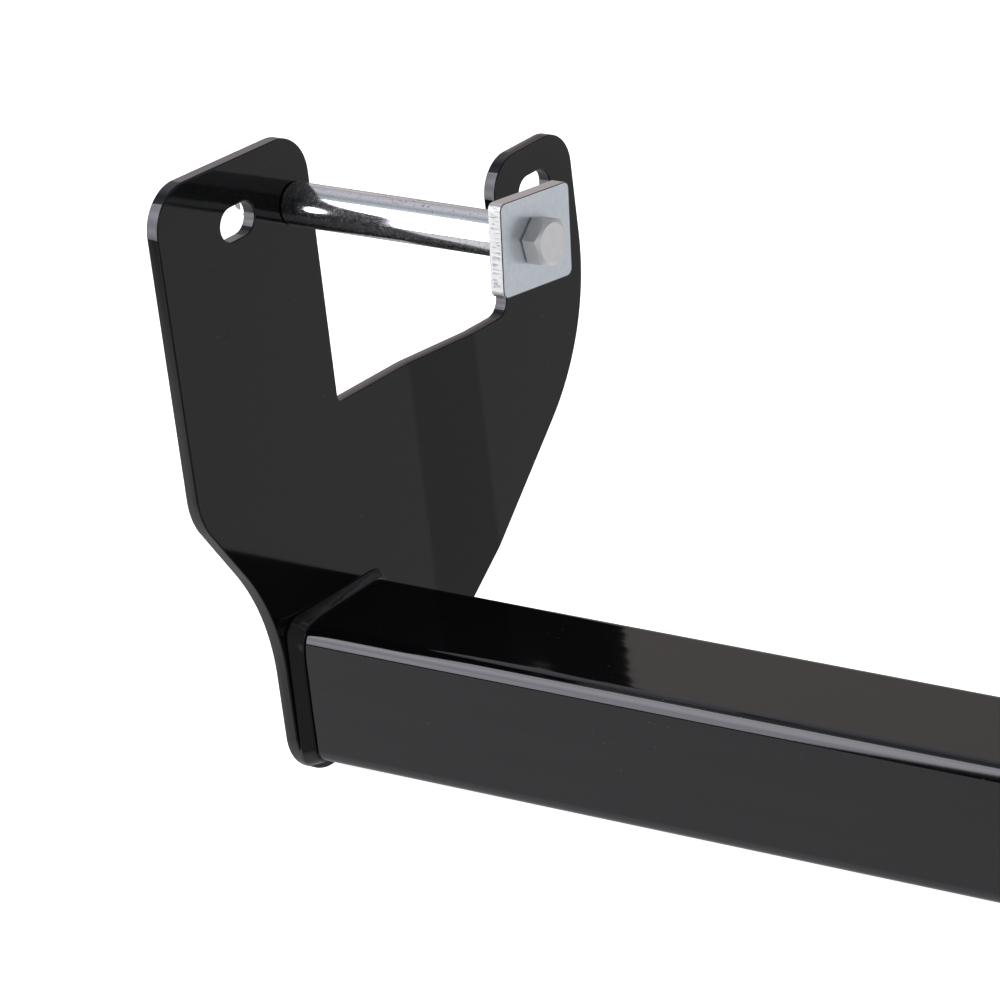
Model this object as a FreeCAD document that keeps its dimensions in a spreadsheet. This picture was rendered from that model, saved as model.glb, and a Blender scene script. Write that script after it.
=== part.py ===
import FreeCAD, Part
import math
import os
import re

import Sketcher

# Front receiver hitch: a square crossbar with an upright joggled plate welded to each end, and a
# receiver tube at its middle. Millimetres, +Z up, -Y towards the front of the vehicle.
# The origin is the middle of the receiver's hitch-pin hole, half way between the two end plates.

doc = FreeCAD.newDocument("front_receiver_hitch")
sheet = doc.addObject("Spreadsheet::Sheet", "sizes")

# Driving dimensions. On the end plates, a reach is behind the crossbar's front face (or ahead of it,
# where the name says front) and a height is above the crossbar's underside.
SIZES = {
    "crossbar_length": 940,
    "crossbar_side": 60,
    "crossbar_wall": 4,
    "crossbar_corner": 6.5,
    "plate_thickness": 6,
    "joggle_offset": 5,
    "joggle_weld_clearance": 30.4,
    "joggle_run": 38,
    "foot_front_reach": 3.4,
    "foot_drop": 7.8,
    "foot_radius": 19.5,
    "shin_front_reach": 4.7,
    "shin_height": 67.3,
    "shin_radius": 92,
    "knee_front_reach": 43.3,
    "knee_height": 122.1,
    "knee_radius": 29,
    "front_ear_front_reach": 45.5,
    "front_ear_width": 94.1,
    "front_ear_height": 261.5,
    "front_ear_rear_drop": 3.7,
    "front_ear_radius": 18.2,
    "front_ear_rear_radius": 19,
    "notch_height": 139.6,
    "notch_front_radius": 3,
    "notch_rear_radius": 7,
    "rear_ear_reach": 209.2,
    "rear_ear_width": 52.8,
    "rear_ear_height": 205,
    "rear_ear_radius": 16,
    "rear_ear_length": 91.6,
    "hip_radius": 98,
    "sole_reach": 76.8,
    "sole_radius": 39,
    "slot_length": 21,
    "slot_width": 14,
    "front_slot_setback": 48,
    "front_slot_drop": 27.7,
    "rear_slot_setback": 26.2,
    "rear_slot_drop": 19.6,
    "plate_weld_leg": 7,
    "plate_weld_rise": 4.2,
    "plate_weld_front_rise": 2.8,
    "plate_weld_corner": 8,
    "weld_toe": 0.5,
    "bolt_setback": 11.2,
    "bolt_drop": 32.1,
    "bolt_diameter": 11.9,
    "bolt_protrusion": 6.8,
    "bolt_tip_chamfer": 1.5,
    "hex_across_flats": 18,
    "hex_face_inset": 1.1,
    "bolt_head_height": 8,
    "plate_hole_clearance": 0.8,
    "sleeve_length": 115.2,
    "sleeve_wall": 2.5,
    "sleeve_bolt_clearance": 0.55,
    "sleeve_edge_chamfer": 0.4,
    "plate_washer_width": 43.6,
    "plate_washer_height": 37.8,
    "plate_washer_thickness": 6.5,
    "plate_washer_corner": 3,
    "washer_bolt_clearance": 0.6,
    "flat_washer_rim": 5.45,
    "flat_washer_thickness": 2.5,
    "lock_washer_rim": 4.25,
    "lock_washer_thickness": 3,
    "lock_washer_gap": 2,
    "lock_washer_clearance": 0.3,
    "nut_height": 10,
    "nut_thread_clearance": 0.05,
    "receiver_side": 63.5,
    "receiver_wall": 6.1,
    "receiver_corner": 5,
    "receiver_socket_corner": 1.5,
    "receiver_length": 120,
    "pin_hole_setback": 66,
    "pin_hole_diameter": 16.5,
    "collar_wall": 8.25,
    "collar_length": 16,
    "collar_corner": 9,
    "collar_weld_leg": 5,
    "receiver_weld_leg": 5,
    "gusset_thickness": 6,
    "gusset_along_crossbar": 60,
    "gusset_pin_clearance": 9.75,
    "gusset_nose": 8,
    "gusset_weld_clearance": 4,
    "cut_overrun": 2,
}
# Turns, in degrees: how the loosely held pieces happen to stand about the bolt.
TURNS = {"plate_washer_turn": -6.4, "bolt_turn": 41, "nut_turn": 20, "hex_chamfer_angle": 30}

for row, (alias, value) in enumerate({**SIZES, **TURNS}.items(), start=1):
    sheet.set(f"A{row}", alias)
    sheet.set(f"B{row}", str(value))
    sheet.setAlias(f"B{row}", alias)
doc.recompute()

ALIASES = sorted({**SIZES, **TURNS}, key=len, reverse=True)
ALIAS_PATTERN = re.compile(r"\b(" + "|".join(ALIASES) + r")\b")

# Places and sizes that several pieces share, worked out from the sizes above.
PIN_TO_CROSSBAR = "(receiver_length - pin_hole_setback)"
LEFT_END = "(-crossbar_length / 2)"
NOTCH_FRONT = "(front_ear_width - front_ear_front_reach)"
NOTCH_REAR = "(rear_ear_reach - rear_ear_width)"
JOGGLE_START = "(crossbar_side + plate_weld_rise + joggle_weld_clearance)"
BOLT_REACH = f"({NOTCH_FRONT} - bolt_setback)"
BOLT_HEIGHT = "(front_ear_height - bolt_drop)"
BOLT_Y = f"({PIN_TO_CROSSBAR} + {BOLT_REACH})"
BOLT_Z = f"({BOLT_HEIGHT} - crossbar_side / 2)"
BOLT_RADIUS = "(bolt_diameter / 2)"
SLEEVE_BORE = f"({BOLT_RADIUS} + sleeve_bolt_clearance)"
WASHER_BORE = f"({BOLT_RADIUS} + washer_bolt_clearance)"
LOCK_WASHER_BORE = f"({BOLT_RADIUS} + lock_washer_clearance)"
LOCK_WASHER_RADIUS = f"({LOCK_WASHER_BORE} + lock_washer_rim)"
OUTBOARD_STACK = "(plate_thickness + flat_washer_thickness + lock_washer_thickness)"
INBOARD_STACK = "(sleeve_length + plate_washer_thickness)"
HEX_CORNER = "(hex_across_flats / 2 / cos(30deg))"
HEX_FACE_RADIUS = "(hex_across_flats / 2 - hex_face_inset)"
GUSSET_ALONG_RECEIVER = f"({PIN_TO_CROSSBAR} - pin_hole_diameter / 2 - gusset_pin_clearance)"
GUSSET_CORNER_CUT = "(receiver_weld_leg + gusset_weld_clearance)"


def cells(text):
    """An expression on the sheet's cells, from one on their aliases."""
    return ALIAS_PATTERN.sub(r"sizes.\1", text)


def bind(thing, **properties):
    for name, text in properties.items():
        thing.setExpression(name, cells(text))


def place(thing, x="0", y="0", z="0", turn=None):
    """Puts a piece at bound coordinates, turned about the X axis by a bound angle."""
    if turn:
        thing.Placement.Rotation = FreeCAD.Rotation(FreeCAD.Vector(1, 0, 0), sheet.get(turn))
        thing.setExpression("Placement.Rotation.Angle", cells(turn) + " * 1deg")
    for axis, text in zip("xyz", (x, y, z)):
        thing.setExpression(f"Placement.Base.{axis}", cells(text))


def new_body(label):
    body = doc.addObject("PartDesign::Body", label)
    body.Label = label
    return body


def new_sketch(body, plane, along="0"):
    """A sketch on one of the body's own origin planes, moved along the plane's normal."""
    sketch = body.newObject("Sketcher::SketchObject", f"{body.Name}_{plane}")
    support = next(item for item in body.Origin.OriginFeatures if item.Role == plane)
    sketch.AttachmentSupport = [(support, "")]
    sketch.MapMode = "FlatFace"
    sketch.setExpression("AttachmentOffset.Base.z", cells(along))
    return sketch


def constrain(sketch, kind, *where, text):
    """A distance or radius constraint whose value is bound to the sheet."""
    value = float(sketch.evalExpression(cells(text)))
    index = sketch.addConstraint(Sketcher.Constraint(kind, *where, value))
    sketch.setExpression(f"Constraints[{index}]", cells(text))


def add_polygon(sketch, corners):
    """A closed outline whose corners are pairs of expressions."""
    first = sketch.GeometryCount
    points = []
    for pair in corners:
        across, up = (float(sketch.evalExpression(cells(text))) for text in pair)
        points.append(FreeCAD.Vector(across, up, 0))
    count = len(corners)
    for index in range(count):
        sketch.addGeometry(Part.LineSegment(points[index], points[(index + 1) % count]))
    for index in range(count):
        line = first + index
        following = first + (index + 1) % count
        sketch.addConstraint(Sketcher.Constraint("Coincident", line, 2, following, 1))
    for index, (across, up) in enumerate(corners):
        constrain(sketch, "DistanceX", -1, 1, first + index, 1, text=across)
        constrain(sketch, "DistanceY", -1, 1, first + index, 1, text=up)


def add_arc(sketch, across, up, radius, start, sweep):
    """An arc whose centre and radius are bound; start and sweep in quarter turns."""
    middle, height, size = (float(sketch.evalExpression(cells(text))) for text in (across, up, radius))
    circle = Part.Circle(FreeCAD.Vector(middle, height, 0), FreeCAD.Vector(0, 0, 1), size)
    first = start * math.pi / 2
    arc = sketch.addGeometry(Part.ArcOfCircle(circle, first, first + sweep * math.pi / 2))
    constrain(sketch, "DistanceX", -1, 1, arc, 3, text=across)
    constrain(sketch, "DistanceY", -1, 1, arc, 3, text=up)
    constrain(sketch, "Radius", arc, text=radius)
    return arc


def join_arcs(sketch, arcs):
    """Straight sides that run tangent from each arc to the next."""
    for index, arc in enumerate(arcs):
        following = arcs[(index + 1) % len(arcs)]
        start = sketch.getPoint(arc, 2)
        end = sketch.getPoint(following, 1)
        side = sketch.addGeometry(Part.LineSegment(start, end))
        sketch.addConstraint(Sketcher.Constraint("Tangent", arc, 2, side, 1))
        sketch.addConstraint(Sketcher.Constraint("Tangent", side, 2, following, 1))


def add_rounded(sketch, low, high, radius):
    """A rectangle with rounded corners between two corners, each a pair of expressions."""
    left, right = f"{low[0]} + {radius}", f"{high[0]} - {radius}"
    bottom, top = f"{low[1]} + {radius}", f"{high[1]} - {radius}"
    centres = [(left, bottom, 2), (right, bottom, 3), (right, top, 0), (left, top, 1)]
    join_arcs(sketch, [add_arc(sketch, across, up, radius, start, 1) for across, up, start in centres])


def add_square(sketch, side, radius):
    add_rounded(sketch, (f"-{side} / 2", f"-{side} / 2"), (f"{side} / 2", f"{side} / 2"), f"({radius})")


def add_hexagon(sketch, turn):
    """The hexagon of a bolt head or nut, about the sketch's origin."""
    corners = []
    for index in range(6):
        angle = f"({turn} * 1deg + {index * 60}deg)"
        corners.append((f"{HEX_CORNER} * cos{angle}", f"{HEX_CORNER} * sin{angle}"))
    add_polygon(sketch, corners)


def add_circle(sketch, radius, across="0", up="0"):
    centre = FreeCAD.Vector(*(float(sketch.evalExpression(cells(text))) for text in (across, up)), 0)
    size = float(sketch.evalExpression(cells(radius)))
    index = sketch.addGeometry(Part.Circle(centre, FreeCAD.Vector(0, 0, 1), size))
    constrain(sketch, "DistanceX", -1, 1, index, 3, text=across)
    constrain(sketch, "DistanceY", -1, 1, index, 3, text=up)
    constrain(sketch, "Radius", index, text=radius)


def add_slot(sketch, across, up):
    """A level slot: two half circles joined by straight sides."""
    reach = "(slot_length - slot_width) / 2"
    ends = [add_arc(sketch, f"{across} {sign} {reach}", up, "slot_width / 2", start, 2)
            for sign, start in (("-", 1), ("+", 3))]
    join_arcs(sketch, ends)


def pad(body, sketch, length, both_ways=False, backwards=False):
    feature = body.newObject("PartDesign::Pad", f"{body.Name}_pad")
    feature.Profile = sketch
    feature.Midplane = both_ways
    feature.Reversed = backwards
    bind(feature, Length=length)
    doc.recompute()
    return feature


def pocket_through(body, sketch):
    """Cuts the sketch's outline right through the body, both ways."""
    before = body.Shape.Volume
    feature = body.newObject("PartDesign::Pocket", f"{body.Name}_pocket")
    feature.Profile = sketch
    feature.Type = "ThroughAll"
    feature.Midplane = True
    doc.recompute()
    if body.Shape.Volume >= before:
        raise RuntimeError(f"a pocket in {body.Label} cut nothing")
    return feature


def dress(body, kind, names, **size):
    """Rounds (Fillet) or bevels (Chamfer) the named edges of the body as it stands."""
    solid = body.Tip
    feature = body.newObject(f"PartDesign::{kind}", f"{body.Name}_{kind}")
    feature.Base = (solid, names)
    bind(feature, **size)
    doc.recompute()


def round_corner(body, across, up, radius):
    """Rounds the edge along X that stands at the given place in the YZ plane."""
    place_yz = (float(body.evalExpression(cells(text))) for text in (across, up))
    spot = FreeCAD.Vector(0, *place_yz)
    middles = [edge.CenterOfMass for edge in body.Shape.Edges]
    nearest = min(middles, key=spot.distanceToPoint)
    dress(body, "Fillet", [f"Edge{middles.index(nearest) + 1}"], Radius=radius)


def chamfer_hex(body, face, outward):
    """Turns the corners off a hexagon's end: a 30 degree cone down to the round face."""
    sketch = new_sketch(body, "XZ_Plane")
    rim = f"({HEX_CORNER} + cut_overrun)"
    depth = f"({rim} - {HEX_FACE_RADIUS}) * tan(hex_chamfer_angle * 1deg)"
    corners = [(face, HEX_FACE_RADIUS), (face, rim), (f"{face} - {outward} * {depth}", rim)]
    add_polygon(sketch, corners)
    before = body.Shape.Volume
    groove = body.newObject("PartDesign::Groove", f"{body.Name}_chamfer")
    groove.Profile = sketch
    groove.ReferenceAxis = (sketch, ["H_Axis"])
    groove.Angle = 360
    doc.recompute()
    if body.Shape.Volume >= before:
        raise RuntimeError(f"the chamfer of {body.Label} cut nothing")


def bead_round(body, foot, toe):
    """Weld metal tapering from the foot outline to the toe outline."""
    loft = body.newObject("PartDesign::AdditiveLoft", f"{body.Name}_loft")
    loft.Profile = foot
    loft.Sections = [toe]
    loft.Ruled = True
    doc.recompute()


def mirror(left_piece):
    """The same piece at the right-hand end."""
    label = left_piece.Label.replace("left_", "right_", 1)
    copy = doc.addObject("Part::Mirroring", label)
    copy.Label = label
    copy.Source = left_piece
    copy.Normal = FreeCAD.Vector(1, 0, 0)
    return copy


# Crossbar: square welded tube, cut square at both ends.
crossbar = new_body("crossbar")
section = new_sketch(crossbar, "YZ_Plane")
add_square(section, "crossbar_side", "crossbar_corner")
add_square(section, "(crossbar_side - 2 * crossbar_wall)", "crossbar_corner - crossbar_wall")
pad(crossbar, section, "crossbar_length", both_ways=True)
place(crossbar, y=f"{PIN_TO_CROSSBAR} + crossbar_side / 2")

# The end plate's outline: corners as reach and height, each with its rounding.
PLATE_CORNERS = [
    ("-foot_front_reach", "-foot_drop", "foot_radius"),
    ("-shin_front_reach", "shin_height", "shin_radius"),
    ("-knee_front_reach", "knee_height", "knee_radius"),
    ("-front_ear_front_reach", "front_ear_height", "front_ear_radius"),
    (NOTCH_FRONT, "front_ear_height - front_ear_rear_drop", "front_ear_rear_radius"),
    (NOTCH_FRONT, "notch_height", "notch_front_radius"),
    (NOTCH_REAR, "notch_height", "notch_rear_radius"),
    (NOTCH_REAR, "rear_ear_height", "rear_ear_radius"),
    ("rear_ear_reach", "rear_ear_height", "rear_ear_radius"),
    ("rear_ear_reach", "rear_ear_height - rear_ear_length", "hip_radius"),
    ("sole_reach", "-foot_drop", "sole_radius"),
]

# Left side plate: flame-cut, with two ears, and set inboard behind the joggle. In its own
# coordinates X is 0 on the inner face, Y on the bar's front face and Z on the bar's underside.
left_plate = new_body("left_side_plate")
outline = new_sketch(left_plate, "YZ_Plane")
add_polygon(outline, [(reach, height) for reach, height, radius in PLATE_CORNERS])
pad(left_plate, outline, "2 * (plate_thickness + joggle_offset + cut_overrun)", both_ways=True)
for reach, height, radius in PLATE_CORNERS:
    round_corner(left_plate, reach, height, radius)
holes = new_sketch(left_plate, "YZ_Plane")
add_slot(holes, "(front_slot_setback - front_ear_front_reach)", "(front_ear_height - front_slot_drop)")
add_slot(holes, "(rear_ear_reach - rear_slot_setback)", "(rear_ear_height - rear_slot_drop)")
add_circle(holes, f"{BOLT_RADIUS} + plate_hole_clearance", BOLT_REACH, BOLT_HEIGHT)
pocket_through(left_plate, holes)

# The joggle, seen from above: the waste on each side of the bent strip is cut away.
AHEAD = "-(front_ear_front_reach + cut_overrun)"
BEHIND = "(rear_ear_reach + cut_overrun)"
SIDE = "(2 * (plate_thickness + joggle_offset + cut_overrun))"
OUTER_FOLD = f"({JOGGLE_START} + plate_thickness * tan(atan(joggle_offset / joggle_run) / 2))"
waste = new_sketch(left_plate, "XY_Plane")
add_polygon(waste, [("0", AHEAD), ("0", JOGGLE_START), ("joggle_offset", f"{JOGGLE_START} + joggle_run"),
                    ("joggle_offset", BEHIND), (SIDE, BEHIND), (SIDE, AHEAD)])
add_polygon(waste, [("-plate_thickness", AHEAD), ("-plate_thickness", OUTER_FOLD),
                    ("joggle_offset - plate_thickness", f"{OUTER_FOLD} + joggle_run"),
                    ("joggle_offset - plate_thickness", BEHIND), (f"-{SIDE}", BEHIND), (f"-{SIDE}", AHEAD)])
pocket_through(left_plate, waste)
place(left_plate, LEFT_END, PIN_TO_CROSSBAR, "-crossbar_side / 2")

# Left plate weld: a bead round the tube's end, almost flush with the plate's front edge.
left_weld = new_body("left_plate_weld")
foot = new_sketch(left_weld, "YZ_Plane")
add_rounded(foot, ("-crossbar_side / 2 - plate_weld_front_rise", "-crossbar_side / 2 - plate_weld_rise"),
            ("crossbar_side / 2 + plate_weld_rise", "crossbar_side / 2 + plate_weld_rise"), "plate_weld_corner")
toe = new_sketch(left_weld, "YZ_Plane", "plate_weld_leg")
add_square(toe, "(crossbar_side + 2 * weld_toe)", "crossbar_corner + weld_toe")
bead_round(left_weld, foot, toe)
bore = new_sketch(left_weld, "YZ_Plane")
add_square(bore, "crossbar_side", "crossbar_corner")
pocket_through(left_weld, bore)
place(left_weld, LEFT_END, f"{PIN_TO_CROSSBAR} + crossbar_side / 2")

# Left spacer sleeve: the tube that keeps the frame rail's walls apart.
left_sleeve = new_body("left_spacer_sleeve")
ring = new_sketch(left_sleeve, "YZ_Plane")
add_circle(ring, f"{SLEEVE_BORE} + sleeve_wall")
add_circle(ring, SLEEVE_BORE)
pad(left_sleeve, ring, "sleeve_length")
rims = [f"Edge{index}" for index, edge in enumerate(left_sleeve.Shape.Edges, start=1)
        if edge.Curve.TypeId == "Part::GeomCircle"]
dress(left_sleeve, "Chamfer", rims, Size="sleeve_edge_chamfer")
place(left_sleeve, LEFT_END, BOLT_Y, BOLT_Z)

# Left plate washer: sheared from flat bar, turned a little about the bolt.
left_plate_washer = new_body("left_plate_washer")
blank = new_sketch(left_plate_washer, "YZ_Plane")
add_rounded(blank, ("-plate_washer_width / 2", "-plate_washer_height / 2"),
            ("plate_washer_width / 2", "plate_washer_height / 2"), "plate_washer_corner")
add_circle(blank, WASHER_BORE)
pad(left_plate_washer, blank, "plate_washer_thickness")
place(left_plate_washer, f"{LEFT_END} + sleeve_length", BOLT_Y, BOLT_Z, "plate_washer_turn")

# Left through bolt: hex head on the plate washer, shank through sleeve and plate.
left_bolt = new_body("left_through_bolt")
head = new_sketch(left_bolt, "YZ_Plane")
add_hexagon(head, "bolt_turn")
pad(left_bolt, head, "bolt_head_height")
chamfer_hex(left_bolt, "bolt_head_height", "1")
shank = new_sketch(left_bolt, "YZ_Plane")
add_circle(shank, BOLT_RADIUS)
pad(left_bolt, shank, f"{INBOARD_STACK} + {OUTBOARD_STACK} + nut_height + bolt_protrusion", backwards=True)
tip = [f"Edge{index}" for index, edge in enumerate(left_bolt.Shape.Edges, start=1)
       if edge.Curve.TypeId == "Part::GeomCircle"
       and edge.BoundBox.XMax < left_bolt.Shape.BoundBox.XMin + sheet.get("nut_height")]
dress(left_bolt, "Chamfer", tip, Size="bolt_tip_chamfer")
place(left_bolt, f"{LEFT_END} + {INBOARD_STACK}", BOLT_Y, BOLT_Z)

# Left flat washer: against the plate's outer face.
left_flat_washer = new_body("left_flat_washer")
ring = new_sketch(left_flat_washer, "YZ_Plane")
add_circle(ring, f"{WASHER_BORE} + flat_washer_rim")
add_circle(ring, WASHER_BORE)
pad(left_flat_washer, ring, "flat_washer_thickness", backwards=True)
place(left_flat_washer, f"{LEFT_END} - plate_thickness", BOLT_Y, BOLT_Z)

# Left lock washer: a split spring ring, pressed flat.
left_lock_washer = new_body("left_lock_washer")
ring = new_sketch(left_lock_washer, "YZ_Plane")
add_circle(ring, LOCK_WASHER_RADIUS)
add_circle(ring, LOCK_WASHER_BORE)
pad(left_lock_washer, ring, "lock_washer_thickness", backwards=True)
split = new_sketch(left_lock_washer, "YZ_Plane")
add_polygon(split, [("-lock_washer_gap / 2", "0"), ("lock_washer_gap / 2", "0"),
                    ("lock_washer_gap / 2", f"2 * {LOCK_WASHER_RADIUS}"),
                    ("-lock_washer_gap / 2", f"2 * {LOCK_WASHER_RADIUS}")])
pocket_through(left_lock_washer, split)
place(left_lock_washer, f"{LEFT_END} - plate_thickness - flat_washer_thickness", BOLT_Y, BOLT_Z)

# Left nut: hexagon nut, chamfered on both faces.
left_nut = new_body("left_nut")
blank = new_sketch(left_nut, "YZ_Plane")
add_hexagon(blank, "nut_turn")
pad(left_nut, blank, "nut_height", backwards=True)
chamfer_hex(left_nut, "-nut_height", "-1")
chamfer_hex(left_nut, "0", "1")
thread = new_sketch(left_nut, "YZ_Plane")
add_circle(thread, f"{BOLT_RADIUS} + nut_thread_clearance")
pocket_through(left_nut, thread)
place(left_nut, f"{LEFT_END} - {OUTBOARD_STACK}", BOLT_Y, BOLT_Z)

# Receiver tube: a 2 inch socket, butted against the middle of the crossbar's front face.
receiver = new_body("receiver_tube")
section = new_sketch(receiver, "XZ_Plane")
add_square(section, "receiver_side", "receiver_corner")
add_square(section, "(receiver_side - 2 * receiver_wall)", "receiver_socket_corner")
pad(receiver, section, "receiver_length")
pin_hole = new_sketch(receiver, "YZ_Plane")
add_circle(pin_hole, "pin_hole_diameter / 2", f"-{PIN_TO_CROSSBAR}")
pocket_through(receiver, pin_hole)
place(receiver, y=PIN_TO_CROSSBAR)

# Receiver collar: a ring that stiffens the socket's mouth.
collar = new_body("receiver_collar")
section = new_sketch(collar, "XZ_Plane")
add_square(section, "(receiver_side + 2 * collar_wall)", "collar_corner")
add_square(section, "receiver_side", "receiver_corner")
pad(collar, section, "collar_length", backwards=True)
place(collar, y="-pin_hole_setback")

# Collar weld: a bead behind the collar, round the receiver.
collar_weld = new_body("collar_weld")
foot = new_sketch(collar_weld, "XZ_Plane")
add_square(foot, "(receiver_side + 2 * collar_weld_leg)", "receiver_corner + collar_weld_leg / 2")
toe = new_sketch(collar_weld, "XZ_Plane", "-collar_weld_leg")
add_square(toe, "(receiver_side + 2 * weld_toe)", "receiver_corner + weld_toe")
bead_round(collar_weld, foot, toe)
bore = new_sketch(collar_weld, "XZ_Plane")
add_square(bore, "receiver_side", "receiver_corner")
pocket_through(collar_weld, bore)
place(collar_weld, y="-pin_hole_setback + collar_length")


def corner_bead(name, x, z, length, direction):
    """A fillet bead between the crossbar's face and a receiver side wall, as an upright wedge."""
    bead = new_body(name)
    profile = new_sketch(bead, "XY_Plane")
    add_polygon(profile, [("0", "0"), (f"{direction} * receiver_weld_leg", "0"),
                          (f"{direction} * weld_toe", "-receiver_weld_leg"), ("0", "-receiver_weld_leg")])
    pad(bead, profile, length, both_ways=True)
    place(bead, x, PIN_TO_CROSSBAR, z)
    return bead


def groove_bead(name, upward):
    """Weld metal in the groove between the crossbar's rounded edge and the receiver's end."""
    block = doc.addObject("Part::Box", f"{name}_block")
    bind(block, Length="receiver_side", Width="crossbar_corner", Height="crossbar_corner")
    low = "crossbar_side / 2 - crossbar_corner" if upward else "-crossbar_side / 2"
    place(block, "-receiver_side / 2", PIN_TO_CROSSBAR, low)
    edge = doc.addObject("Part::Cylinder", f"{name}_edge")
    bind(edge, Radius="crossbar_corner", Height="receiver_side + 2 * cut_overrun")
    edge.Placement.Rotation = FreeCAD.Rotation(FreeCAD.Vector(0, 1, 0), 90)
    centre = "crossbar_side / 2 - crossbar_corner" if upward else "crossbar_corner - crossbar_side / 2"
    place(edge, "-receiver_side / 2 - cut_overrun", f"{PIN_TO_CROSSBAR} + crossbar_corner", centre)
    bead = doc.addObject("Part::Cut", name)
    bead.Base = block
    bead.Tool = edge
    return bead


# Receiver weld: two upright fillet beads and two groove beads hold the receiver to the crossbar.
FLAT_HEIGHT = "crossbar_side - 2 * crossbar_corner"
left_bead = corner_bead("receiver_bead_left", "-receiver_side / 2", "0", FLAT_HEIGHT, "-1")
right_bead = corner_bead("receiver_bead_right", "receiver_side / 2", "0", FLAT_HEIGHT, "1")
top_bead = groove_bead("receiver_bead_top", True)
bottom_bead = groove_bead("receiver_bead_bottom", False)
receiver_weld = doc.addObject("Part::Compound", "receiver_weld")
receiver_weld.Label = "receiver_weld"
receiver_weld.Links = [left_bead, right_bead, top_bead, bottom_bead]

# Left gusset: a level brace between receiver and crossbar, snipped to clear the upright bead.
left_gusset = new_body("left_gusset")
outline = new_sketch(left_gusset, "XY_Plane")
add_polygon(outline, [
    (f"-{GUSSET_CORNER_CUT}", "0"),
    ("0", f"-{GUSSET_CORNER_CUT}"),
    ("0", f"-{GUSSET_ALONG_RECEIVER}"),
    ("-gusset_nose", f"-{GUSSET_ALONG_RECEIVER}"),
    ("-gusset_along_crossbar", "-gusset_nose"),
    ("-gusset_along_crossbar", "0"),
])
pad(left_gusset, outline, "gusset_thickness", both_ways=True)
place(left_gusset, "-receiver_side / 2", PIN_TO_CROSSBAR)

doc.recompute()
left_pieces = [left_plate, left_weld, left_sleeve, left_plate_washer, left_bolt,
               left_flat_washer, left_lock_washer, left_nut, left_gusset]
right_pieces = [mirror(piece) for piece in left_pieces]
doc.recompute()

pieces = [crossbar, receiver, collar, collar_weld, receiver_weld, *left_pieces, *right_pieces]
for item in doc.Objects:
    if "Invalid" in item.State or "Error" in item.State:
        raise RuntimeError(f"{item.Label} did not build: {item.State}")
for piece in pieces:
    if piece.Shape.isNull() or not piece.Shape.isValid() or not piece.Shape.Solids:
        raise RuntimeError(f"{piece.Label} has no valid solid")

os.makedirs("parts", exist_ok=True)
for piece in pieces:
    piece.Shape.exportStep(f"parts/{piece.Label}.step")
    print(piece.Label, len(piece.Shape.Solids), "solids", round(piece.Shape.Volume), "mm3")
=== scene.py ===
import math

import bmesh
import bpy
from mathutils import Matrix, Vector, noise


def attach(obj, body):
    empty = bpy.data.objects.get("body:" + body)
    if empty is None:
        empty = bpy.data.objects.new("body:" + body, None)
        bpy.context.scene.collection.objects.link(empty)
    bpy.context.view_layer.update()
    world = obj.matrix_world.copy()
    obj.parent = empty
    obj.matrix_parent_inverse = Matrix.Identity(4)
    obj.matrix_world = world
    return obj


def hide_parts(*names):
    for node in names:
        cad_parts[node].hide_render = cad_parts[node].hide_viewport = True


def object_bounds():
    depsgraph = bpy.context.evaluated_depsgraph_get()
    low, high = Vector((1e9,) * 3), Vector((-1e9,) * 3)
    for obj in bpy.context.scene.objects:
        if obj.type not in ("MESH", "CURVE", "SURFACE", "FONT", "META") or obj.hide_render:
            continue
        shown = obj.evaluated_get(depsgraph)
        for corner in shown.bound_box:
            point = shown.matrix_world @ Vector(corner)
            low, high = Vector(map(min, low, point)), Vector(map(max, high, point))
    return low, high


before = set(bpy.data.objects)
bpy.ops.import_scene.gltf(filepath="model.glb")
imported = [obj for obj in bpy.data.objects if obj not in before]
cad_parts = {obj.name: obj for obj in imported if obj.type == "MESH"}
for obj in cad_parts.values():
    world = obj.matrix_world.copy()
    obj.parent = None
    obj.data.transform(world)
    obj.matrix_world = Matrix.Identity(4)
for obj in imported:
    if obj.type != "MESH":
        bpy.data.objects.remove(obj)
cad_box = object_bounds()

# The camera stands where the photograph was taken from: in front, to the hitch's right and above,
# with a long lens, so that the left-hand end fills the picture.
CAMERA_PLACE = Vector((1.27606, -1.89783, 1.1139))
CAMERA_RIGHT = Vector((0.79095, 0.60156, -0.11193))
CAMERA_UP = Vector((-0.14227, 0.35872, 0.92254))
camera_data = bpy.data.cameras.new("camera")
camera_data.sensor_width = 36
camera_data.lens = 252.43
camera_data.clip_end = 200
camera = bpy.data.objects.new("camera", camera_data)
facing = Matrix((CAMERA_RIGHT, CAMERA_UP, CAMERA_RIGHT.cross(CAMERA_UP))).transposed()
camera.matrix_world = Matrix.Translation(CAMERA_PLACE) @ facing.to_4x4()
bpy.context.scene.collection.objects.link(camera)
bpy.context.scene.camera = camera
bpy.context.scene.view_settings.view_transform = "Standard"


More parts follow.
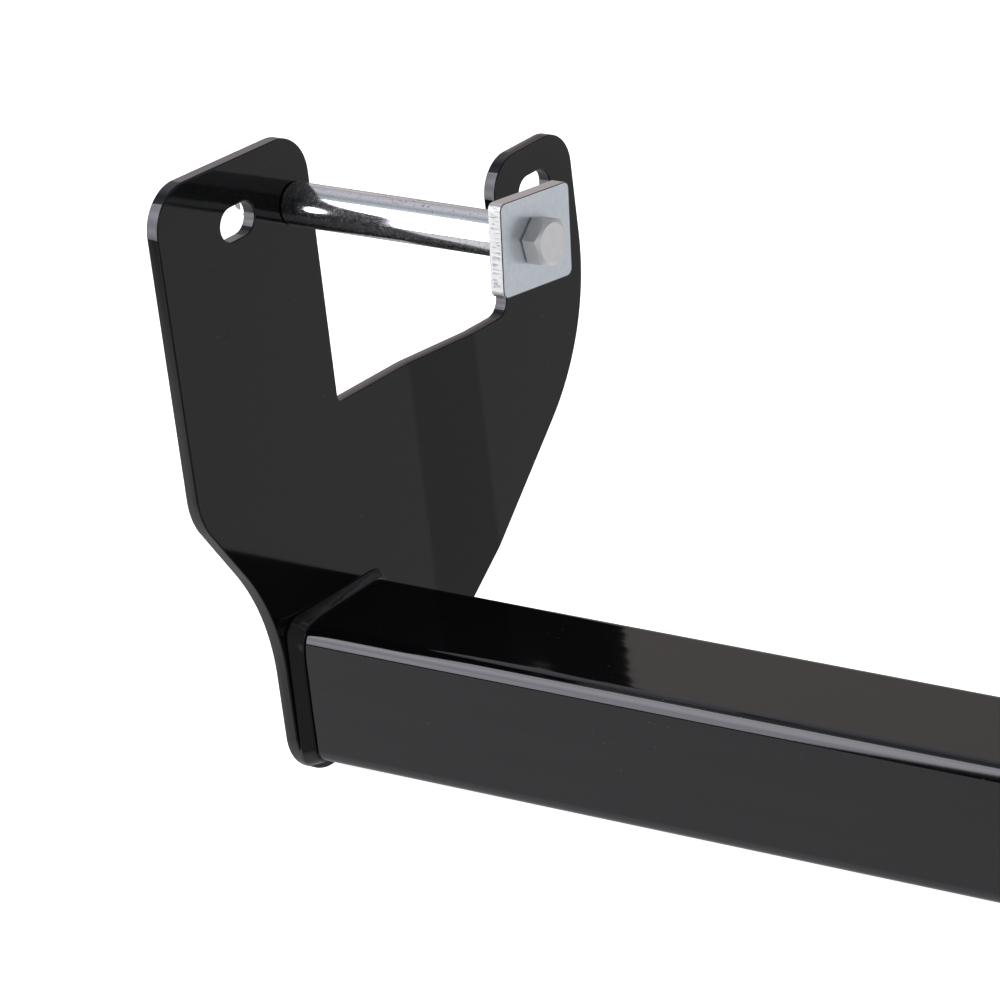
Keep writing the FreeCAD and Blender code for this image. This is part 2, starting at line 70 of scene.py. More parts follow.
class Shade:
    """A shader socket that sums can be written with: each sum adds the node that works it out."""

    def __init__(self, tree, socket=None):
        self.tree = tree
        self.socket = socket

    def node(self, kind, settings=None, inputs=None, output=0):
        """Adds a node: first its settings (a ramp's stops among them), then its sockets."""
        made = self.tree.nodes.new("ShaderNode" + kind)
        for name, value in (settings or {}).items():
            if name == "stops":
                for place, colour in value[len(made.color_ramp.elements):]:
                    made.color_ramp.elements.new(place)
                for element, (place, colour) in zip(made.color_ramp.elements, value):
                    element.position = place
                    element.color = (*colour, 1)
            else:
                setattr(made, name, value)
        for name, value in (inputs or {}).items():
            if isinstance(value, Shade):
                self.tree.links.new(value.socket, made.inputs[name])
            else:
                made.inputs[name].default_value = value
        return Shade(self.tree, made.outputs[output])

    def sum(self, operation, *terms):
        return self.node("Math", {"operation": operation}, dict(enumerate(terms)))

    def __add__(self, other):
        return self.sum("ADD", self, other)

    def __radd__(self, other):
        return self.sum("ADD", other, self)

    def __sub__(self, other):
        return self.sum("SUBTRACT", self, other)

    def __rsub__(self, other):
        return self.sum("SUBTRACT", other, self)

    def __mul__(self, other):
        return self.sum("MULTIPLY", self, other)

    def __rmul__(self, other):
        return self.sum("MULTIPLY", other, self)

    def between(self, low, high):
        """0 below low, 1 above high, with an even rise."""
        return self.node("MapRange", None, {"Value": self, "From Min": low, "From Max": high})

    def mix(self, low, high):
        """A colour between two: the first where this is 0, the second where it is 1."""
        return self.node("Mix", {"data_type": "RGBA"}, {0: self, 6: low, 7: high}, 2)


# Studio: a white floor, a large soft box ahead and to the left of the hitch, a dim ceiling and a
# pale wall behind. The floor and the lights aren't part of the object.
FLOOR_REACH = 40
floor_form = bmesh.new()
bmesh.ops.create_grid(floor_form, size=FLOOR_REACH)
bmesh.ops.translate(floor_form, verts=floor_form.verts, vec=(0, 0, cad_box[0][2]))
floor_mesh = bpy.data.meshes.new("floor")
floor_form.to_mesh(floor_mesh)
floor = bpy.data.objects.new("floor", floor_mesh)
bpy.context.scene.collection.objects.link(floor)
floor.visible_glossy = False
paper = bpy.data.materials.new("floor_paper")
paper.use_nodes = True
paper_shader = paper.node_tree.nodes["Principled BSDF"]
paper_shader.inputs["Base Color"].default_value = (0.9, 0.9, 0.9, 1)
paper_shader.inputs["Roughness"].default_value = 0.9
paper_shader.inputs["Emission Color"].default_value = (1, 1, 1, 1)
paper_shader.inputs["Emission Strength"].default_value = 0.95
floor_mesh.materials.append(paper)

# The soft box is a screen bent round the crossbar's direction, so the bar's edge mirrors it whole.
# Its right-hand edge leans away from the hitch towards the top, and its low left corner is dim.
BOX_REACH = 2.0
BOX_LOW, BOX_HIGH = math.radians(-19), math.radians(70)
BOX_LEFT, BOX_RIGHT = -4.2, -1.6
BOX_LEAN = 0.26
BOX_STEPS = 16
BOX_GLOW = 5.6
DIM_BELOW = (-0.75, 0.3)
DIM_LEFT_OF = (-2.12, -2.02)
BOX_WHITE = (1.0, 0.98, 1.06, 1)
BOX_VIOLET = (0.72, 0.69, 0.79, 1)
BOX_DIM = (0.2, 0.2, 0.21, 1)
BOX_MIDDLE = (BOX_LEFT + BOX_RIGHT) / 2
box_form = bmesh.new()
box_ends = [box_form.verts.new((x, -BOX_REACH * math.cos(BOX_LOW), BOX_REACH * math.sin(BOX_LOW)))
            for x in (BOX_LEFT, BOX_RIGHT)]
box_edge = box_form.edges.new(box_ends)
bmesh.ops.spin(box_form, geom=[*box_ends, box_edge], cent=(0, 0, 0), axis=(-1, 0, 0),
               angle=BOX_HIGH - BOX_LOW, steps=BOX_STEPS)
for vert in box_form.verts:
    if vert.co.x > BOX_MIDDLE:
        vert.co.x += BOX_LEAN * (math.atan2(vert.co.z, -vert.co.y) - BOX_LOW)
box_mesh = bpy.data.meshes.new("soft_box")
box_form.to_mesh(box_mesh)
soft_box = bpy.data.objects.new("soft_box", box_mesh)
bpy.context.scene.collection.objects.link(soft_box)
soft_box.visible_camera = False
box_glow = bpy.data.materials.new("soft_box_glow")
box_glow.use_nodes = True
glow = Shade(box_glow.node_tree)
box_shader = box_glow.node_tree.nodes["Principled BSDF"]
box_shader.inputs["Base Color"].default_value = (0, 0, 0, 1)
screen_place = glow.node("TexCoord", output="Object")
bright_patch = glow.node("TexNoise", None, {"Vector": screen_place, "Scale": 1.1, "Detail": 0.0})
screen_x = glow.node("SeparateXYZ", None, {0: screen_place}, "X")
screen_z = glow.node("SeparateXYZ", None, {0: screen_place}, "Z")
low_left = (1 - screen_z.between(*DIM_BELOW)) * (1 - screen_x.between(*DIM_LEFT_OF))
screen_patch = bright_patch.between(0.35, 0.65).mix(BOX_VIOLET, BOX_WHITE)
screen_light = (low_left * 0.75).mix(screen_patch, BOX_DIM)
box_glow.node_tree.links.new(screen_light.socket, box_shader.inputs["Emission Color"])
box_shader.inputs["Emission Strength"].default_value = BOX_GLOW
box_mesh.materials.append(box_glow)

# Everything else around the hitch is in the world's light, set by the angle about the crossbar's
# direction: 0 is level in front, 90 degrees overhead, -90 the floor, 180 level behind. How far a
# direction points along the crossbar, from -1 to 1, chooses between the lights of each side.
world = bpy.data.worlds.new("studio")
world.use_nodes = True
world.node_tree.nodes.clear()
bpy.context.scene.world = world
around = Shade(world.node_tree)
direction = around.node("TexCoord", output="Generated")
part_x = around.node("SeparateXYZ", None, {0: direction}, "X")
part_y = around.node("SeparateXYZ", None, {0: direction}, "Y")
part_z = around.node("SeparateXYZ", None, {0: direction}, "Z")
turn = around.sum("ARCTAN2", part_z, part_y * -1) * (0.5 / math.pi) + 0.5


def turned_by(degrees):
    """Where an angle about the crossbar lies between 0, level behind, and 1, a full turn on."""
    return (degrees + 180) / 360


def stop(degrees, *colour):
    return turned_by(degrees), colour


OFF_THE_FLOOR = turned_by(-26), turned_by(-25)
UP_TO_CEILING = turned_by(50), turned_by(70)
LEVEL_BEHIND = turned_by(152), turned_by(152.5)
PAST_FRONT_EAR = (-0.628, -0.618)
PAST_REAR_EAR = (-0.607, -0.599)
LEFT_TO_RIGHT = (-0.3, 0.6)
AHEAD_TO_SIDE = (0.25, 0.45)
FAR_RIGHT = (0.70, 0.78)
AHEAD_GREY = (0.28, 0.28, 0.29, 1)
FAR_WALL_WHITE = (0.95, 0.96, 1.0, 1)

left_light = turn.node("ValToRGB", {"stops": [
    stop(-180, 0.40, 0.37, 0.35),
    stop(-152, 0.43, 0.42, 0.44),
    stop(-90, 0.60, 0.60, 0.62),
    stop(-48, 0.86, 0.87, 0.90),
    stop(-27.5, 0.76, 0.75, 0.78),
    stop(-26, 0.02, 0.02, 0.02),
    stop(58, 0.02, 0.02, 0.02),
    stop(61, 0.40, 0.43, 0.45),
    stop(68, 0.58, 0.65, 0.68),
    stop(80, 0.42, 0.48, 0.51),
    stop(89, 0.30, 0.32, 0.35),
    stop(98, 0.47, 0.49, 0.54),
    stop(112, 0.68, 0.67, 0.77),
    stop(128, 0.62, 0.60, 0.69),
    stop(143, 0.52, 0.48, 0.50),
    stop(152, 0.42, 0.375, 0.37),
    stop(180, 0.44, 0.41, 0.41),
]}, {"Fac": turn})
# The ears' and the notch's rounded edges mirror a narrow part of the left side, lit on its own.
edge_light = turn.node("ValToRGB", {"stops": [
    stop(-152, 0.43, 0.42, 0.44),
    stop(-90, 0.60, 0.60, 0.62),
    stop(-40, 1.15, 1.15, 1.17),
    stop(-29, 1.10, 1.10, 1.12),
    stop(-28.5, 1.00, 1.00, 1.02),
    stop(-28.05, 0.60, 0.60, 0.62),
    stop(-27.73, 0.20, 0.20, 0.21),
    stop(-27.4, 0.04, 0.04, 0.04),
    stop(-26.3, 0.02, 0.02, 0.02),
    stop(152.8, 0.42, 0.375, 0.37),
    stop(153.6, 1.00, 0.91, 1.00),
    stop(157, 0.95, 0.88, 0.96),
    stop(159, 0.80, 0.74, 0.80),
    stop(164, 0.80, 0.74, 0.80),
    stop(168, 0.43, 0.40, 0.40),
]}, {"Fac": turn})
right_light = turn.node("ValToRGB", {"stops": [
    stop(-180, 0.30, 0.30, 0.30),
    stop(-172, 0.85, 0.86, 0.90),
    stop(-160, 0.85, 0.86, 0.90),
    stop(-157, 0.46, 0.46, 0.47),
    stop(-150, 0.46, 0.46, 0.47),
    stop(-146, 0.43, 0.43, 0.44),
    stop(-142, 0.43, 0.43, 0.44),
    stop(-138, 0.85, 0.86, 0.90),
    stop(-118, 0.85, 0.86, 0.90),
    stop(-110, 0.06, 0.06, 0.06),
    stop(-92, 0.36, 0.36, 0.38),
    stop(-40, 0.42, 0.42, 0.44),
    stop(-34, 0.04, 0.04, 0.04),
    stop(48, 0.03, 0.03, 0.03),
    stop(62, 0.17, 0.17, 0.18),
    stop(150, 0.20, 0.20, 0.21),
    stop(180, 0.30, 0.30, 0.30),
]}, {"Fac": turn})
past_front_ear = (1 - part_x.between(*PAST_FRONT_EAR)) * (1 - turn.between(*OFF_THE_FLOOR))
past_rear_ear = (1 - part_x.between(*PAST_REAR_EAR)) * turn.between(*LEVEL_BEHIND)
left_side = (past_front_ear + past_rear_ear).mix(left_light, edge_light)
around_bar = part_x.between(*LEFT_TO_RIGHT).mix(left_side, right_light)
in_front = turn.between(*OFF_THE_FLOOR) * (1 - turn.between(*UP_TO_CEILING))
ahead = (1 - around.sum("ABSOLUTE", part_x).between(*AHEAD_TO_SIDE)) * in_front
far_right = part_x.between(*FAR_RIGHT) * in_front
surroundings = far_right.mix(ahead.mix(around_bar, AHEAD_GREY), FAR_WALL_WHITE)
to_camera = around.node("LightPath", output="Is Camera Ray")
backdrop = around.node("Background", None, {"Color": (1, 1, 1, 1), "Strength": 1.0})
studio_light = around.node("Background", None, {"Color": surroundings, "Strength": 1.0})
seen = around.node("MixShader", None, {0: to_camera, 1: studio_light, 2: backdrop})
world_output = world.node_tree.nodes.new("ShaderNodeOutputWorld")
world.node_tree.links.new(seen.socket, world_output.inputs["Surface"])

# Crossbar: 60 mm square steel tube with rounded corners, cut square, powder coated gloss black.
# Its drawn walls aren't quite flat, which shows as faint waves that run along it.
BAR_SIDE = 0.060
BAR_WALL = 0.004
BAR_CORNER = 0.0065
BAR_FRONT = 0.054
BAR_END = 0.470
BAR_MIDDLE = BAR_FRONT + BAR_SIDE / 2
ACROSS = (1, 0, 0)


def rounded_loop(form, corners, x, steps=8, cuts=0):
    """A closed loop of edges at x, through corners that are each (y, z, rounding). Each rounding
    has this many steps, and each straight side is cut this many times."""
    before = set(form.edges)
    arcs = []
    for index, (y, z, radius) in enumerate(corners):
        corner = Vector((x, y, z))
        last_y, last_z, _ = corners[index - 1]
        next_y, next_z, _ = corners[(index + 1) % len(corners)]
        back = (Vector((x, last_y, last_z)) - corner).normalized()
        on = (Vector((x, next_y, next_z)) - corner).normalized()
        half = back.angle(on) / 2
        sense = math.copysign(1, on.cross(back).x)
        start = form.verts.new(corner + back * (radius / math.tan(half)))
        centre = corner + (back + on).normalized() * (radius / math.sin(half))
        swung = bmesh.ops.spin(form, geom=[start], cent=centre, axis=ACROSS,
                               angle=sense * (math.pi - 2 * half), steps=steps)
        arcs.append((start, swung["geom_last"][0]))
    sides = [form.edges.new((end, start)) for (_, end), (start, _) in zip(arcs, arcs[1:] + arcs[:1])]
    if cuts:
        bmesh.ops.subdivide_edges(form, edges=sides, cuts=cuts)
    return [edge for edge in form.edges if edge not in before]


def square(side, radius):
    """The corners of a square section about the axis, anticlockwise."""
    half = side / 2
    return [(y * half, z * half, radius) for y, z in ((-1, -1), (1, -1), (1, 1), (-1, 1))]


def grow(form, faces, shift):
    """Gives a flat sheet of faces its thickness."""
    grown = bmesh.ops.extrude_face_region(form, geom=faces)
    moved = [item for item in grown["geom"] if isinstance(item, bmesh.types.BMVert)]
    bmesh.ops.translate(form, verts=moved, vec=shift)
    bmesh.ops.recalc_face_normals(form, faces=form.faces)


SHARP_EDGE = math.radians(40)


def soften(form, width, segments=2):
    """Takes the sharpness off every edge where two faces meet at more than a slight angle."""
    edges = [edge for edge in form.edges
             if len(edge.link_faces) == 2 and edge.calc_face_angle(0) > SHARP_EDGE]
    bmesh.ops.bevel(form, geom=edges, offset=width, offset_type="OFFSET", segments=segments,
                    profile=0.5, affect="EDGES", material=-1, clamp_overlap=True)


def square_tube(side, corner, inner_side, inner_corner, start, length, steps=12):
    """A square tube along X."""
    form = bmesh.new()
    outer = rounded_loop(form, square(side, corner), start, steps)
    inner = rounded_loop(form, square(inner_side, inner_corner), start, steps)
    bmesh.ops.bridge_loops(form, edges=outer + inner)
    grow(form, form.faces[:], (length, 0, 0))
    return form


def settle(form, name, finish, body, node):
    """Turns a form into a finished piece: smooth, coloured, and riding on its body."""
    mesh = bpy.data.meshes.new(name)
    for face in form.faces:
        face.smooth = True
    form.to_mesh(mesh)
    form.free()
    mesh.materials.append(finish)
    piece = bpy.data.objects.new(name, mesh)
    bpy.context.scene.collection.objects.link(piece)
    weighted = piece.modifiers.new("flat_faces_stay_flat", "WEIGHTED_NORMAL")
    weighted.weight = 100
    weighted.keep_sharp = True
    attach(piece, body)
    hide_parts(node)


def new_finish(name):
    """An empty material, and the Shade that its nodes are written with."""
    finish = bpy.data.materials.new(name)
    finish.use_nodes = True
    finish.node_tree.nodes.clear()
    return finish, Shade(finish.node_tree)


def close(finish, shader):
    output = finish.node_tree.nodes.new("ShaderNodeOutputMaterial")
    finish.node_tree.links.new(shader.socket, output.inputs["Surface"])
    return finish


COAT_BLACK = (0.0016, 0.0018, 0.0021, 1)
COAT_DUST = (0.12, 0.12, 0.12, 1)
ORANGE_PEEL = 0.0000006
DRAWN_WAVES = 0.00008


def powder_coat(name, waves=0.0, roughness=0.07):
    """Gloss black powder coat: a fine orange peel, a few specks of dust, and the waves of the metal."""
    finish, coat = new_finish(name)
    place = coat.node("TexCoord", output="Object")
    peel = coat.node("TexNoise", None, {"Vector": place, "Scale": 900.0, "Detail": 1.0})
    relief = peel * ORANGE_PEEL
    if waves:
        drawn = coat.node("Mapping", None, {"Vector": place, "Scale": (0.3, 60.0, 60.0)})
        wave = coat.node("TexNoise", None, {"Vector": drawn, "Scale": 1.6, "Detail": 2.0})
        relief = relief + wave * waves
    specks = coat.node("TexVoronoi", None, {"Vector": place, "Scale": 260.0, "Randomness": 1.0},
                       "Distance")
    speck_here = coat.node("TexNoise", None, {"Vector": place, "Scale": 45.0, "Detail": 1.0})
    dust = (1 - specks.between(0.03, 0.06)) * speck_here.between(0.56, 0.62)
    colour = dust.mix(COAT_BLACK, COAT_DUST)
    smudge = coat.node("TexNoise", None, {"Vector": place, "Scale": 14.0, "Detail": 3.0})
    shine = smudge.between(0.45, 0.8) * 0.02 + roughness + dust * 0.3
    bumped = coat.node("Bump", None, {"Height": relief, "Strength": 1.0, "Distance": 1.0})
    shader = coat.node("BsdfPrincipled", None, {
        "Base Color": colour, "Roughness": shine, "Normal": bumped, "IOR": 1.5,
    })
    return close(finish, shader)


bar_coat = powder_coat("crossbar_coat", waves=DRAWN_WAVES)
bar = square_tube(BAR_SIDE, BAR_CORNER, BAR_SIDE - 2 * BAR_WALL, BAR_CORNER - BAR_WALL,
                  -BAR_END, 2 * BAR_END)
bmesh.ops.translate(bar, verts=bar.verts, vec=(0, BAR_MIDDLE, 0))
settle(bar, "crossbar_tube", bar_coat, "hitch_frame", "crossbar")

# Side plates: 6 mm steel plate, flame cut to an outline with two ears and a notch between them, and
# folded twice so that its rear part stands 5 mm inboard. Welded upright to the crossbar's ends.
PLATE_THICKNESS = 0.006
PLATE_CORNERS = [
    (-3.4, -7.8, 19.5), (76.8, -7.8, 39), (209.2, 113.4, 98), (209.2, 205, 16), (156.4, 205, 16),
    (156.4, 139.6, 7), (48.6, 139.6, 3), (48.6, 257.8, 19), (-45.5, 261.5, 18.2), (-43.3, 122.1, 29),
    (-4.7, 67.3, 92),
]
SLOTS = [(2.5, 233.8), (183, 185.4)]
SLOT_WIDTH = 14
SLOT_LENGTH = 21
BOLT_HOLE = (37.4, 229.4, 6.75)
FOLD_START = 0.1486
FOLD_RUN = 0.038
FOLD_OFFSET = 0.005
FOLD_SOFTNESS = 0.0012
PLATE_RIM = 0.0006


def on_part(reach, height, radius):
    """A corner given from the crossbar's front and underside in mm, in the part's own metres."""
    return (BAR_FRONT + reach / 1000, height / 1000 - BAR_SIDE / 2, radius / 1000)


def fold_shift(y):
    """How far inboard the plate stands at y: level, then sloping, then level, with soft folds."""
    def ramp(start):
        past = y - start
        if abs(past) < FOLD_SOFTNESS:
            return (past + FOLD_SOFTNESS) ** 2 / (4 * FOLD_SOFTNESS)
        return max(past, 0)
    return (ramp(FOLD_START) - ramp(FOLD_START + FOLD_RUN)) * FOLD_OFFSET / FOLD_RUN


def mirrored(form):
    """The same form at the right-hand end."""
    other = form.copy()
    bmesh.ops.scale(other, verts=other.verts, vec=(-1, 1, 1))
    bmesh.ops.reverse_faces(other, faces=other.faces)
    return other


RIM_STEPS = 3


def round_rim(form, radius):
    """Cuts rings inside a flat sheet's edges and notes how far each stands back once it is grown."""
    depth = form.verts.layers.float.new("depth")
    inner = set(form.faces)
    for step in range(RIM_STEPS + 1):
        angle, further = (math.pi / 2 * (step + more) / RIM_STEPS for more in (0, 1))
        for edge in form.edges:
            if len(inner.intersection(edge.link_faces)) == 1:
                for vert in edge.verts:
                    vert[depth] = radius * (1 - math.sin(angle))
        if step < RIM_STEPS:
            bmesh.ops.inset_region(form, faces=list(inner), use_boundary=True, use_even_offset=True,
                                   thickness=radius * (math.cos(angle) - math.cos(further)))
    return depth


def slab(form, x, thickness, radius):
    """Gives a flat sheet at x its thickness along X, with every rim rounded."""
    depth = round_rim(form, radius)
    grow(form, form.faces[:], (thickness, 0, 0))
    for vert in form.verts:
        vert.co.x -= math.copysign(vert[depth], vert.co.x - x - thickness / 2)
    form.verts.layers.float.remove(depth)


plate = bmesh.new()
rings = rounded_loop(plate, [on_part(*corner) for corner in PLATE_CORNERS], -BAR_END, 18)
for reach, height in SLOTS:
    half_length, half_width = SLOT_LENGTH / 2, SLOT_WIDTH / 2
    rings += rounded_loop(plate, [
        on_part(reach + y * half_length, height + z * half_width, half_width - 0.001)
        for y, z in ((-1, -1), (1, -1), (1, 1), (-1, 1))], -BAR_END, 10)
hole_y, hole_z, hole_radius = on_part(*BOLT_HOLE)
hole = bmesh.ops.create_circle(plate, segments=48, radius=hole_radius, matrix=(
    Matrix.Translation((-BAR_END, hole_y, hole_z)) @ Matrix.Rotation(math.pi / 2, 4, "Y")))
rings += list({edge for vert in hole["verts"] for edge in vert.link_edges})
bmesh.ops.triangle_fill(plate, use_beauty=True, use_dissolve=False, edges=rings, normal=ACROSS)
slab(plate, -BAR_END, -PLATE_THICKNESS, PLATE_RIM)
for fold in (FOLD_START, FOLD_START + FOLD_RUN):
    for step in (-1, -0.5, 0, 0.5, 1):
        bmesh.ops.bisect_plane(plate, geom=[*plate.verts, *plate.edges, *plate.faces], dist=1e-7,
                               plane_co=(0, fold + step * FOLD_SOFTNESS, 0), plane_no=(0, 1, 0))
for vert in plate.verts:
    vert.co.x += fold_shift(vert.co.y)
plate_coat = powder_coat("side_plate_coat")
right_plate = mirrored(plate)
settle(plate, "left_plate_piece", plate_coat, "hitch_frame", "left_side_plate")
settle(right_plate, "right_plate_piece", plate_coat, "hitch_frame", "right_side_plate")

# Plate welds: a fillet bead all round each end of the crossbar, painted over with the rest. At the
# front it is almost flush with the plate's edge. It starts wide and lumpy at the front top corner,
# and its leg along the crossbar is shorter towards the rear.
WELD_LEG = 0.007
WELD_RISE = 0.0032
WELD_FRONT_RISE = 0.0028
WELD_CORNER = 0.008
WELD_TOE = 0.0005
WELD_ROWS = 8
WELD_REAR_LEG = 0.57
WELD_CORNER_LEG = 1.25
WELD_START = 0.008
WELD_SWELL = 0.0002
WELD_FRONT_SWELL = 0.4
START_LUMPS = 0.0002
LUMP_PITCH = 0.0025
ARC_STEPS, SIDE_CUTS = 10, 40


def bead(form, loops):
    """Weld metal between loops of equal counts, joined one to the next."""
    for first, second in zip(loops, loops[1:]):
        bmesh.ops.bridge_loops(form, edges=first + second)
    bmesh.ops.recalc_face_normals(form, faces=form.faces)


def ripple(form, depth, pitch, grain):
    """Uneven weld metal: low swells along the bead and a finer grain on them."""
    for vert in form.verts:
        swell = noise.noise(vert.co / pitch) * depth + noise.noise(vert.co / (pitch / 4)) * grain
        vert.co += vert.normal * swell


plate_weld = bmesh.new()
weld_loops = []
half = BAR_SIDE / 2
for row in range(WELD_ROWS + 1):
    part = row / WELD_ROWS
    swell = WELD_SWELL * math.sin(math.pi * part)
    away = WELD_RISE * (1 - part) + WELD_TOE * part + swell
    ahead = WELD_FRONT_RISE * (1 - part) + WELD_TOE * part + swell * WELD_FRONT_SWELL
    corner = WELD_CORNER * (1 - part) + (BAR_CORNER + WELD_TOE) * part
    section = [(-half - ahead, -half - away, corner), (half + away, -half - away, corner),
               (half + away, half + away, corner), (-half - ahead, half + away, corner)]
    x = -BAR_END + WELD_LEG * part
    weld_loops.append(rounded_loop(plate_weld, section, x, ARC_STEPS, SIDE_CUTS))
bar_section = square(BAR_SIDE, BAR_CORNER)
inner = rounded_loop(plate_weld, bar_section, -BAR_END + WELD_LEG, ARC_STEPS, SIDE_CUTS)
bead(plate_weld, [*weld_loops, inner])
plate_weld.normal_update()
for vert in plate_weld.verts:
    towards_rear = min(max(vert.co.y / BAR_SIDE + 0.5, 0), 1)
    from_start = math.hypot(vert.co.y + half, vert.co.z - half) / WELD_START
    reach = 1 + (WELD_REAR_LEG - 1) * towards_rear + (WELD_CORNER_LEG - 1) * math.exp(-from_start ** 2)
    vert.co.x += (vert.co.x + BAR_END) * (reach - 1)
    vert.co += vert.normal * noise.noise(vert.co / LUMP_PITCH) * START_LUMPS * math.exp(-from_start ** 2)
ripple(plate_weld, depth=0.00012, pitch=0.014, grain=0.00004)
root = rounded_loop(plate_weld, bar_section, -BAR_END, ARC_STEPS, SIDE_CUTS)
bead(plate_weld, [inner, root, weld_loops[0]])
bmesh.ops.translate(plate_weld, verts=plate_weld.verts, vec=(0, BAR_MIDDLE, 0))
weld_coat = powder_coat("weld_coat", roughness=0.10)
right_weld = mirrored(plate_weld)
settle(plate_weld, "left_plate_bead", weld_coat, "hitch_frame", "left_plate_weld")
settle(right_weld, "right_plate_bead", weld_coat, "hitch_frame", "right_plate_weld")

# Receiver tube: a length of steel tube with a 2 inch square socket, cut square and butted against
# the crossbar's front face, with a hole through both side walls for the hitch pin.
RECEIVER_SIDE = 0.0635
RECEIVER_WALL = 0.0061
RECEIVER_CORNER = 0.005
SOCKET_CORNER = 0.0015
RECEIVER_MOUTH = -0.066
PIN_RADIUS = 0.00825
PIN_DRILL = 0.1
RECEIVER_RIM = 0.0006


def carved(form, tool, operation):
    """What a Boolean leaves of two closed forms."""
    holders = []
    for shape in (form, tool):
        mesh = bpy.data.meshes.new("carving")
        shape.to_mesh(mesh)
        shape.free()
        holder = bpy.data.objects.new("carving", mesh)
        bpy.context.scene.collection.objects.link(holder)
        holders.append(holder)
    boolean = holders[0].modifiers.new("carve", "BOOLEAN")
    boolean.object = holders[1]
    boolean.operation = operation
    boolean.solver = "EXACT"
    bpy.context.view_layer.update()
    evaluated = holders[0].evaluated_get(bpy.context.evaluated_depsgraph_get())
    result = bmesh.new()
    result.from_mesh(evaluated.to_mesh())
    evaluated.to_mesh_clear()
    for holder in holders:
        mesh = holder.data
        bpy.data.objects.remove(holder)
        bpy.data.meshes.remove(mesh)
    return result


def along_y(form, shift):
    """Turns a form that was made along X to run along Y."""
    bmesh.ops.rotate(form, verts=form.verts, cent=(0, 0, 0), matrix=Matrix.Rotation(math.pi / 2, 3, "Z"))
    bmesh.ops.translate(form, verts=form.verts, vec=(0, shift, 0))


def rod(radius, length):
    """A plain rod along X, about the origin, for cutting a bore."""
    form = bmesh.new()
    bmesh.ops.create_cone(form, cap_ends=True, segments=64, radius1=radius, radius2=radius,
                          depth=length, matrix=Matrix.Rotation(math.pi / 2, 4, "Y"))
    return form


receiver = square_tube(RECEIVER_SIDE, RECEIVER_CORNER, RECEIVER_SIDE - 2 * RECEIVER_WALL, SOCKET_CORNER,
                       0, BAR_FRONT - RECEIVER_MOUTH, 8)
along_y(receiver, RECEIVER_MOUTH)
receiver = carved(receiver, rod(PIN_RADIUS, PIN_DRILL), "DIFFERENCE")
soften(receiver, RECEIVER_RIM)
plain_coat = powder_coat("receiver_coat", roughness=0.08)
settle(receiver, "receiver_socket_tube", plain_coat, "hitch_frame", "receiver_tube")

# Receiver collar: a steel ring cut from thicker square tube, which stiffens the receiver's mouth. It
# is pushed over the receiver, flush with its end, and held by a fillet bead behind it.
COLLAR_SIDE = 0.080
COLLAR_CORNER = 0.009
COLLAR_LENGTH = 0.016
COLLAR_RIM = 0.0009
COLLAR_LEG = 0.005
COLLAR_SWELL = 0.0007
COLLAR_CUTS = 40
collar = square_tube(COLLAR_SIDE, COLLAR_CORNER, RECEIVER_SIDE, RECEIVER_CORNER, 0, COLLAR_LENGTH, 10)
along_y(collar, RECEIVER_MOUTH)
soften(collar, COLLAR_RIM, 3)
settle(collar, "receiver_collar_ring", plain_coat, "hitch_frame", "receiver_collar")
collar_bead = bmesh.new()
collar_loops = []
for row in range(WELD_ROWS + 1):
    part = row / WELD_ROWS
    reach = COLLAR_LEG * (1 - part) + WELD_TOE * part + COLLAR_SWELL * math.sin(math.pi * part)
    corner = RECEIVER_CORNER + COLLAR_LEG / 2 * (1 - part) + WELD_TOE * part
    collar_loops.append(rounded_loop(collar_bead, square(RECEIVER_SIDE + 2 * reach, corner),
                                     COLLAR_LEG * part, cuts=COLLAR_CUTS))
bead(collar_bead, collar_loops)
collar_bead.normal_update()
ripple(collar_bead, depth=0.0003, pitch=0.005, grain=0.0001)
receiver_section = square(RECEIVER_SIDE, RECEIVER_CORNER)
collar_root = [rounded_loop(collar_bead, receiver_section, x, cuts=COLLAR_CUTS) for x in (COLLAR_LEG, 0)]
bead(collar_bead, [collar_loops[-1], *collar_root, collar_loops[0]])
along_y(collar_bead, RECEIVER_MOUTH + COLLAR_LENGTH)
settle(collar_bead, "collar_bead", weld_coat, "hitch_frame", "collar_weld")

# Receiver weld: upright fillet beads beside the receiver, and weld metal in the grooves above and
# below it, where the crossbar's edges round away.
RECEIVER_LEG = 0.005
BEAD_STEPS = 60
FILLET_STEPS = 5
FILLET_HOLLOW = 0.18


def run_on(form, face, shift):
    """Draws a bead's section out along its run, in short steps that ripples can bend."""
    for step in range(BEAD_STEPS):
        grown = bmesh.ops.extrude_face_region(form, geom=[face])
        if step:
            bmesh.ops.delete(form, geom=[face], context="FACES_ONLY")
        face = next(item for item in grown["geom"] if isinstance(item, bmesh.types.BMFace))
        moved = [item for item in grown["geom"] if isinstance(item, bmesh.types.BMVert)]
        bmesh.ops.translate(form, verts=moved, vec=Vector(shift) / BEAD_STEPS)


